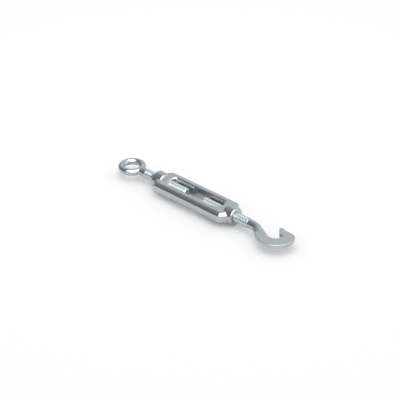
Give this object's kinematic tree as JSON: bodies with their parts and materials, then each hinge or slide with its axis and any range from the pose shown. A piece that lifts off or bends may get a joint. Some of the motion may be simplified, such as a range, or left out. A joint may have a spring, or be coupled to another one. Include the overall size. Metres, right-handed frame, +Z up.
{
  "type": "hook and eye turnbuckle",
  "caption": "Rigging turnbuckle: open forged body with round hubs, threaded eye bolt at one end and flattened open hook bolt at the other, for tensioning wire or rope.",
  "frame": {"origin": "centre of the eye's hole, which is the fixing point at that end", "axes": "+X along the line of pull towards the hook, +Z up through the eye's hole and square to the flat of the hook"},
  "size_m": [0.2632, 0.0397, 0.0222],
  "materials": {
    "body_zinc": "bright zinc plating over forged steel, satin",
    "eye_zinc": "bright zinc plating, polished by the die, cut thread",
    "hook_zinc": "bright zinc plating over forged steel, satin, cut thread"
  },
  "bodies": {
    "open_body": {"open_body": "body_zinc"},
    "eye_bolt": {"eye_bolt": "eye_zinc"},
    "hook_bolt": {"hook_bolt": "hook_zinc"}
  },
  "joints": [
    {"name": "body_slide", "type": "slide", "parent": "eye_bolt", "child": "open_body", "axis": [1, 0, 0], "range_m": [-0.0125, 0.027]},
    {"name": "hook_slide", "type": "slide", "parent": "open_body", "child": "hook_bolt", "axis": [1, 0, 0], "range_m": [-0.0125, 0.027]}
  ],
  "couplings": [
    {"joint": "hook_slide", "follows": "body_slide", "ratio": 1}
  ]
}
